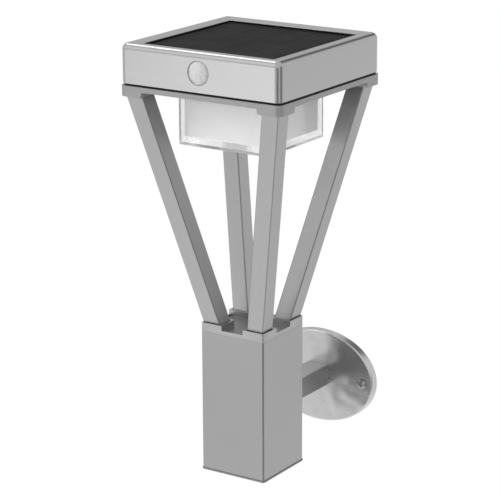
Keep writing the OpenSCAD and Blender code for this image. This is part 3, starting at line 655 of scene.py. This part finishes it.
# %% [markdown]
# Every piece starts as a flat outline or a few points, and grows by extruding, bridging or
# turning. Real sheet and tube have small rounded edges, and those thin bright or dark lines
# are most of what makes metal look like metal, so each piece ends with its sharp edges broken
# by a narrow bevel. A Bevel modifier would round the edges too, but the operator lets each
# piece choose which edges.

# %% Helpers that shape the pieces
SHARP = math.radians(35.0)
FLAT = 0.98


def outline(bm, width, depth, corner, steps=5):
    made = bmesh.ops.create_grid(bm, x_segments=1, y_segments=1, size=0.5)
    bmesh.ops.scale(bm, verts=made["verts"], vec=(width, depth, 1.0))
    bmesh.ops.bevel(bm, geom=made["verts"], offset=corner, offset_type="OFFSET",
                    segments=steps, profile=0.5, affect="VERTICES", material=-1)


def raise_faces(bm, faces, height):
    grown = bmesh.ops.extrude_face_region(bm, geom=faces)["geom"]
    moved = [part for part in grown if isinstance(part, bmesh.types.BMVert)]
    bmesh.ops.translate(bm, verts=moved, vec=(0.0, 0.0, height))
    return [part for part in grown if isinstance(part, bmesh.types.BMFace)]


def square_tube(width, corner, bore, bore_corner, length):
    bm = bmesh.new()
    outline(bm, width, width, corner)
    outline(bm, bore, bore, bore_corner)
    bmesh.ops.delete(bm, geom=list(bm.faces), context="FACES_ONLY")
    bmesh.ops.bridge_loops(bm, edges=list(bm.edges))
    raise_faces(bm, list(bm.faces), length)
    bmesh.ops.recalc_face_normals(bm, faces=list(bm.faces))
    return bm


def mark_corners(bm):
    bm.normal_update()
    for face in bm.faces:
        face.material_index = int(max(abs(value) for value in face.normal) < FLAT)


def break_edges(bm, width, steps=2, above=SHARP):
    sharp = [edge for edge in bm.edges
             if len(edge.link_faces) == 2 and edge.calc_face_angle(0.0) > above]
    bmesh.ops.bevel(bm, geom=sharp, offset=width, offset_type="OFFSET", segments=steps,
                    profile=0.5, affect="EDGES", material=-1, clamp_overlap=True)


def move(bm, x, y, z):
    bmesh.ops.translate(bm, verts=bm.verts, vec=(x, y, z))


def turn_about_x(bm, angle):
    bmesh.ops.rotate(bm, verts=bm.verts, matrix=Matrix.Rotation(angle, 3, "X"))


# %% [markdown]
# A finished shape becomes a piece of the lamp. It gets its finish, and weighted normals that
# keep its large faces flat in the shading while its narrow edges look round. It is hung on the
# body that carries it, and the construction nodes it stands for are hidden. Those nodes are
# hidden, and physics goes on using them.

# %% Turn a shape into a piece


def as_piece(name, bm, finish, nodes, body="lamp"):
    mesh = bpy.data.meshes.new(name)
    bm.to_mesh(mesh)
    bm.free()
    mesh.shade_smooth()
    piece = put_in_scene(name, mesh)
    mesh.materials.append(finishes[finish])
    shading = piece.modifiers.new("flat_faces_stay_flat", "WEIGHTED_NORMAL")
    shading.keep_sharp = True
    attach(piece, body)
    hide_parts(*nodes)
    print(name, "has", len(mesh.polygons), "faces")
    return piece


# %% [markdown]
# The post and the arm are plain square tubes. Such a tube is rolled from strip, and the rolls
# leave it a small corner radius, which decides how wide the line down each upright edge is. An
# outer and an inner outline are bridged to a ring, and the ring is pulled up to a tube. A
# solid block with a hole cut through it would look the same, but cutting leaves long thin
# faces. The rounded corners of the post are marked first, so that the brushed finish goes on
# the flat sides and a darker painted reflection goes on the corners, for the dark line down
# each edge.

# %% Draw the post and the arm
TUBE_WALL = 1.5 * MM
POST_CORNER = 1.6 * MM
POST_BORE_CORNER = 0.6 * MM
POST_BREAK = 0.25 * MM
ARM_CORNER = 1.0 * MM
ARM_BORE_CORNER = 0.4 * MM
ARM_BREAK = 0.7 * MM


def corners(node):
    low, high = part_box(node)
    return Vector(low), Vector(high)


AXIS_Y = (corners("post")[0].y + corners("post")[1].y) / 2


def make_post():
    low, high = corners("post")
    width = high.x - low.x
    bm = square_tube(width, POST_CORNER, width - 2 * TUBE_WALL, POST_BORE_CORNER,
                     high.z - low.z)
    mark_corners(bm)
    break_edges(bm, POST_BREAK)
    move(bm, 0.0, AXIS_Y, low.z)
    tube = as_piece("post_tube", bm, "steel_upright", ["post"])
    # The rounded corners get the darker finish: a painted reflection down each edge.
    tube.data.materials.append(finishes["painted_corner_reflection"])


def make_arm():
    low, high = corners("arm")
    width = high.x - low.x
    bm = square_tube(width, ARM_CORNER, width - 2 * TUBE_WALL, ARM_BORE_CORNER,
                     high.y - low.y)
    break_edges(bm, ARM_BREAK)
    turn_about_x(bm, -math.pi / 2)
    move(bm, 0.0, low.y, (low.z + high.z) / 2)
    as_piece("arm_tube", bm, "steel_deep", ["arm"])


make_post()
make_arm()

# %% [markdown]
# Each leg is a square tube that leans outwards along its corner's diagonal, cut level at both
# ends. It is drawn upright and a little too long, tipped over, and then cut by two level
# planes, just as a saw would do it. The two cut rings are closed with a bridge. Pushing the
# ends of an upright tube sideways would be quicker, but it squeezes the section, and the leg
# would no longer be a square tube. How far a leg leans follows from its box in the
# construction model: the box holds the lean and the tube's own tipped width, so the angle is
# found in a few rounds.

# %% Draw the four legs
LEG_WIDTH = 15.4 * MM
LEG_WALL = 1.2 * MM
LEG_CORNER = 1.0 * MM
LEG_BORE_CORNER = 0.4 * MM
LEG_SPARE = 2 * LEG_WIDTH
FINE_BREAK = 0.15 * MM
LEAN_ROUNDS = 12
LEG_NODES = {"leg_front_left": (-1, -1), "leg_front_right": (1, -1),
             "leg_back_left": (-1, 1), "leg_back_right": (1, 1)}


def leg_lean(low, high):
    lean = 0.0
    for _ in range(LEAN_ROUNDS):
        slope = (high.x - low.x - LEG_WIDTH / math.cos(lean)) / (high.z - low.z)
        lean = math.atan(slope * math.sqrt(2.0))
    return lean


def cut_level(bm, height, keep_below):
    cut = bmesh.ops.bisect_plane(bm, geom=list(bm.verts) + list(bm.edges) + list(bm.faces),
                                 plane_co=(0.0, 0.0, height), plane_no=(0.0, 0.0, 1.0),
                                 clear_outer=keep_below, clear_inner=not keep_below)
    rings = [part for part in cut["geom_cut"] if isinstance(part, bmesh.types.BMEdge)]
    bmesh.ops.bridge_loops(bm, edges=rings)


def make_leg(node, side):
    low, high = corners(node)
    lean = leg_lean(low, high)
    length = (high.z - low.z) / math.cos(lean) + 2 * LEG_SPARE
    bm = square_tube(LEG_WIDTH, LEG_CORNER, LEG_WIDTH - 2 * LEG_WALL, LEG_BORE_CORNER, length)
    mark_corners(bm)
    move(bm, 0.0, 0.0, LEG_SPARE - length)
    across = Vector((-side[1], side[0], 0.0))
    bmesh.ops.rotate(bm, verts=bm.verts, matrix=Matrix.Rotation(lean, 3, across))
    half = LEG_WIDTH / 2 / math.cos(lean)
    reach = high.x if side[0] > 0 else -low.x
    move(bm, side[0] * (reach - half), AXIS_Y + side[1] * (reach - half), high.z)
    cut_level(bm, high.z, True)
    cut_level(bm, low.z, False)
    bmesh.ops.recalc_face_normals(bm, faces=list(bm.faces))
    break_edges(bm, FINE_BREAK)
    tube = as_piece(node + "_tube", bm, "steel_leg", [node])
    # The rounded corners get the darker finish: a painted reflection down each edge.
    tube.data.materials.append(finishes["painted_corner_reflection"])
    return lean


for node, side in LEG_NODES.items():
    print(node, "leans", round(math.degrees(make_leg(node, side)), 2), "degrees")

# %% [markdown]
# The collar, the upper frame, the bottom cap and the plate's screws already have the right
# form in the construction model. Drawing them again would only add mistakes. So a copy of each
# is merged into a closed skin, its flat facets are joined, and its edges are broken, as
# tumbling does to a real casting. The construction node itself is left as it is.

# %% Copy and soften the castings
SAME_POINT = 0.002 * MM
NEARLY_FLAT = math.radians(0.8)


def copy_of(node):
    bm = bmesh.new()
    bm.from_mesh(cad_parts[node].data)
    bmesh.ops.remove_doubles(bm, verts=list(bm.verts), dist=SAME_POINT)
    bmesh.ops.dissolve_limit(bm, angle_limit=NEARLY_FLAT, verts=list(bm.verts),
                             edges=list(bm.edges))
    return bm


def soften(node, name, width, finish, steps=2):
    bm = copy_of(node)
    break_edges(bm, width, steps)
    as_piece(name, bm, finish, [node])


soften("collar", "cast_collar", 0.25 * MM, "cast_satin")
soften("upper_frame", "cast_frame", 0.35 * MM, "cast_dark", steps=3)
soften("bottom_cap", "moulded_cap", 0.2 * MM, "grey_cap")
soften("plate_screws", "plate_screw_pair", 0.12 * MM, "screw_steel")

# %% [markdown]
# The head's cover is pressed from one sheet: upright corners and top edge have nearly the same
# radius, so the three meet in a ball-like corner. The top is opened for the panel, the edge of
# the window is dished, and the front is pierced for the sensor. The same skin is drawn twice,
# once outside and once a sheet's thickness further in, and the two are joined along the bottom
# edge, round the sensor's hole and round the window. A Solidify modifier would thicken one
# skin, but the inner corners of a real pressing have a smaller radius, which this way gives.

# %% Helpers that open and close the sheet
SHEET = 1.0 * MM
WINDOW = 124.0 * MM
WINDOW_CORNER = 1.0 * MM
WINDOW_STEPS = 4
WINDOW_DISH = 1.4 * MM
LENS_RADIUS = 9.25 * MM
LENS_GAP = 0.6 * MM
HOLE_STEPS = 72


def edges_of(verts):
    return list(dict.fromkeys(edge for vert in verts for edge in vert.link_edges))


def fill_between(bm, outer_edges, inner_edges):
    bmesh.ops.triangle_fill(bm, use_beauty=True, use_dissolve=False,
                            edges=outer_edges + inner_edges)


def pierce(bm, centre, radius):
    face = max((f for f in bm.faces if f.normal.y < -FLAT), key=lambda f: f.calc_area())
    border = list(face.edges)
    bmesh.ops.delete(bm, geom=[face], context="FACES_ONLY")
    turn = Matrix.Translation(centre) @ Matrix.Rotation(math.pi / 2, 4, "X")
    ring = bmesh.ops.create_circle(bm, cap_ends=False, segments=HOLE_STEPS, radius=radius,
                                   matrix=turn)["verts"]
    fill_between(bm, border, edges_of(ring))


def open_window(bm, height):
    lid = max(bm.faces, key=lambda f: f.calc_center_median().z)
    border = list(lid.edges)
    bmesh.ops.delete(bm, geom=[lid], context="FACES_ONLY")
    before = set(bm.verts)
    outline(bm, WINDOW, WINDOW, WINDOW_CORNER, WINDOW_STEPS)
    ring = [vert for vert in bm.verts if vert not in before]
    bmesh.ops.delete(bm, geom=[f for f in bm.faces if f.verts[0] in ring],
                     context="FACES_ONLY")
    bmesh.ops.translate(bm, verts=ring, vec=(0.0, 0.0, height - WINDOW_DISH))
    fill_between(bm, border, edges_of(ring))


def close_sheet(bm, level):
    reach = LENS_RADIUS + 2 * LENS_GAP if level else 1.5 * SHEET
    edges = [edge for edge in bm.edges if edge.is_boundary
             and all(abs(vert.co.z - level) <= reach for vert in edge.verts)]
    if level:
        bmesh.ops.bridge_loops(bm, edges=edges)
    else:
        fill_between(bm, edges, [])
    print("sheet closed along", len(edges), "edges")


# %% [markdown]
# With those helpers the cover itself is short. Both skins start as a rounded square and are
# raised to a box without a bottom. The sensor's hole sits where the construction model has the
# lens, so the lens fits it whatever the head's height is.

# %% Press the cover
COVER_CORNER = 5.4 * MM
COVER_ROUND = 5.2 * MM
COVER_STEPS = 8
RIGHT_ANGLES = math.radians(60.0)


def pressed_skin(bm, width, height, corner, top_round, lens_z):
    outline(bm, width, width, corner, COVER_STEPS)
    top = raise_faces(bm, list(bm.faces), height)
    bottom = [face for face in bm.faces if len(face.verts) > 4 and face not in top]
    bmesh.ops.delete(bm, geom=bottom, context="FACES_ONLY")
    bmesh.ops.recalc_face_normals(bm, faces=list(bm.faces))
    rim = [edge for face in top for edge in face.edges]
    bmesh.ops.bevel(bm, geom=rim, offset=top_round, offset_type="OFFSET",
                    segments=COVER_STEPS, profile=0.5, affect="EDGES", material=-1,
                    clamp_overlap=False)
    open_window(bm, height)
    pierce(bm, Vector((0.0, -width / 2, lens_z)), LENS_RADIUS + LENS_GAP)
    bmesh.ops.recalc_face_normals(bm, faces=list(bm.faces))


def make_cover():
    low, high = corners("head_cover")
    width = high.x - low.x
    height = high.z - low.z
    lens_low, lens_high = corners("sensor_lens")
    lens_z = (lens_low.z + lens_high.z) / 2 - low.z
    both = bmesh.new()
    for wall in (0.0, SHEET):
        bm = bmesh.new()
        pressed_skin(bm, width - 2 * wall, height - wall, COVER_CORNER - wall,
                     COVER_ROUND - wall, lens_z)
        skin = bpy.data.meshes.new("skin")
        bm.to_mesh(skin)
        bm.free()
        both.from_mesh(skin)
        bpy.data.meshes.remove(skin)
    for level in (0.0, lens_z, height):
        close_sheet(both, level)
    bmesh.ops.recalc_face_normals(both, faces=list(both.faces))
    break_edges(both, FINE_BREAK, above=RIGHT_ANGLES)
    move(both, 0.0, AXIS_Y, low.z)
    as_piece("pressed_cover", both, "steel_across", ["head_cover"])


make_cover()

# %% [markdown]
# The sensor's lens is a thin white cap that bulges out of its hole, with a flange that seats
# behind the sheet. Its dome starts just inside the hole, so a fine dark ring stays round it. A
# squashed ball would bend too sharply at its edge. So half a section is drawn in the air:
# three straight lines, and an arc spun from the last point. The section is then spun round
# the lens axis, and the open ring at the back is closed.

# %% Turn the lens
LENS_RIM = -0.5 * MM
LENS_DOME = 3.1 * MM
LENS_LAP = 1.3 * MM
LENS_FLANGE = 1.0 * MM
LENS_BREAK = 0.3 * MM
LENS_SHARP = math.radians(40.0)
DOME_STEPS = 10
LENS_STEPS = 64
SAME_LENS_POINT = 0.004 * MM


def section(bm, points):
    verts = [bm.verts.new((x, 0.0, z)) for x, z in points]
    for first, second in zip(verts, verts[1:]):
        bm.edges.new((first, second))
    return verts


def make_lens():
    low, high = corners("sensor_lens")
    cap = (LENS_RADIUS ** 2 + LENS_DOME ** 2) / (2 * LENS_DOME)
    bm = bmesh.new()
    foot = section(bm, [(LENS_RADIUS + LENS_LAP, -SHEET - LENS_FLANGE),
                        (LENS_RADIUS + LENS_LAP, -SHEET), (LENS_RADIUS, -SHEET),
                        (LENS_RADIUS, LENS_RIM)])
    bmesh.ops.spin(bm, geom=[foot[-1]], cent=(0.0, 0.0, LENS_RIM + LENS_DOME - cap),
                   axis=(0.0, -1.0, 0.0), dvec=(0.0, 0.0, 0.0), steps=DOME_STEPS,
                   angle=math.asin(LENS_RADIUS / cap))
    bmesh.ops.spin(bm, geom=list(bm.verts) + list(bm.edges), cent=(0.0, 0.0, 0.0),
                   axis=(0.0, 0.0, 1.0), dvec=(0.0, 0.0, 0.0), steps=LENS_STEPS,
                   angle=2 * math.pi, use_merge=True)
    bmesh.ops.remove_doubles(bm, verts=list(bm.verts), dist=SAME_LENS_POINT)
    open_ring = [edge for edge in bm.edges if edge.is_boundary]
    bmesh.ops.holes_fill(bm, edges=open_ring, sides=0)
    bmesh.ops.recalc_face_normals(bm, faces=list(bm.faces))
    break_edges(bm, LENS_BREAK, steps=3, above=LENS_SHARP)
    turn_about_x(bm, math.pi / 2)
    move(bm, 0.0, corners("head_cover")[0].y, (low.z + high.z) / 2)
    as_piece("lens_cap", bm, "white_lens", ["sensor_lens"])


make_lens()

# %% [markdown]
# The diffuser is two boxes, one in the other, both moulded with real walls. The outer one is
# thin and clear, and its rounded edges gather the dark lines. The inner one is frosted. Their
# form in the construction model is right, so they are softened as the castings are, with one
# more step in each edge, because a clear edge shows its facets.

# %% Round the edges of both diffuser boxes
soften("diffuser_shell", "clear_box", 0.5 * MM, "clear_acrylic", steps=3)
soften("diffuser_core", "frosted_box", 0.4 * MM, "frosted_acrylic", steps=3)

# %% [markdown]
# The wall plate is an oval, pressed like the cover, with a rounded front edge and a hollow
# back. A circle squeezed to an oval gives the outline, and it is raised to a disc. Insetting
# the disc's back face gives the width of the wall, and pushing the inset face in makes the
# hollow. The disc is drawn lying down, as every outline here, and stood up at the end.

# %% Press the wall plate
PLATE_STEPS = 160
PLATE_ROUND = 1.4 * MM
PLATE_ROUND_STEPS = 6
PLATE_WALL = 1.5 * MM


def make_plate():
    low, high = corners("wall_plate")
    depth = high.y - low.y
    bm = bmesh.new()
    bmesh.ops.create_circle(bm, cap_ends=True, segments=PLATE_STEPS, radius=1.0)
    bmesh.ops.scale(bm, verts=bm.verts,
                    vec=((high.x - low.x) / 2, (high.z - low.z) / 2, 1.0))
    front = raise_faces(bm, list(bm.faces), depth)
    back = [f for f in bm.faces if abs(f.normal.z) > FLAT and f not in front]
    rim = [edge for face in front for edge in face.edges]
    bmesh.ops.bevel(bm, geom=rim, offset=PLATE_ROUND, offset_type="OFFSET",
                    segments=PLATE_ROUND_STEPS, profile=0.5, affect="EDGES", material=-1,
                    clamp_overlap=False)
    bmesh.ops.inset_region(bm, faces=back, thickness=PLATE_WALL, use_even_offset=True)
    raise_faces(bm, back, depth - PLATE_WALL)
    bmesh.ops.delete(bm, geom=[f for f in back if f.is_valid], context="FACES")
    bmesh.ops.recalc_face_normals(bm, faces=list(bm.faces))
    break_edges(bm, FINE_BREAK)
    turn_about_x(bm, math.pi / 2)
    as_piece("oval_plate", bm, "plate_polish", ["wall_plate"])


make_plate()

# %% [markdown]
# The construction nodes get their finishes too. Most of them are inside or behind something,
# but a gap, the clear box or a look from below shows many of them, and a plain grey node would
# stand out there. The nodes that a piece replaces are dressed like the piece. One list from
# node to finish is easier to read and to correct than a line of code for each.

# %% Give every construction node its finish
NODE_FINISH = {
    "post": "steel_upright", "bottom_cap": "grey_cap", "collar": "cast_satin",
    "collar_screws": "screw_steel", "leg_front_left": "steel_leg",
    "leg_front_right": "steel_leg", "leg_back_left": "steel_leg",
    "leg_back_right": "steel_leg", "leg_foot_plugs": "cast_satin",
    "leg_head_plugs": "plug_cast", "leg_foot_screws": "screw_steel",
    "leg_head_screws": "screw_steel", "upper_frame": "cast_dark", "head_base": "black_plastic",
    "base_screws": "screw_steel", "head_cover": "steel_across", "panel_seal": "black_rubber",
    "solar_glass": "solar_laminate", "solar_cells": "solar_laminate",
    "panel_backboard": "black_plastic", "panel_carrier": "black_plastic",
    "sensor_lens": "white_lens", "sensor_housing": "black_plastic",
    "sensor_detector": "screw_steel", "sensor_board": "board_green",
    "battery_holder": "black_plastic", "battery_cell": "cell_sleeve",
    "battery_contacts": "screw_steel", "control_board": "board_green",
    "board_parts": "black_plastic", "board_screws": "screw_steel",
    "diffuser_seal": "black_rubber", "diffuser_shell": "clear_acrylic",
    "diffuser_core": "frosted_acrylic", "led_board": "board_white", "led_chips": "phosphor",
    "led_screws": "screw_steel", "mode_button": "black_plastic",
    "switch_plunger": "black_plastic", "switch_body": "black_plastic", "arm": "steel_deep",
    "arm_plugs": "plug_cast", "arm_post_screws": "screw_steel",
    "arm_plate_screws": "screw_steel", "wall_plate": "plate_polish",
    "wall_bracket": "cast_satin", "bracket_nuts": "screw_steel", "plate_screws": "screw_steel",
}
for node, finish in NODE_FINISH.items():
    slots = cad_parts[node].data.materials
    slots.clear()
    slots.append(finishes[finish])
print("nodes dressed:", len(NODE_FINISH))
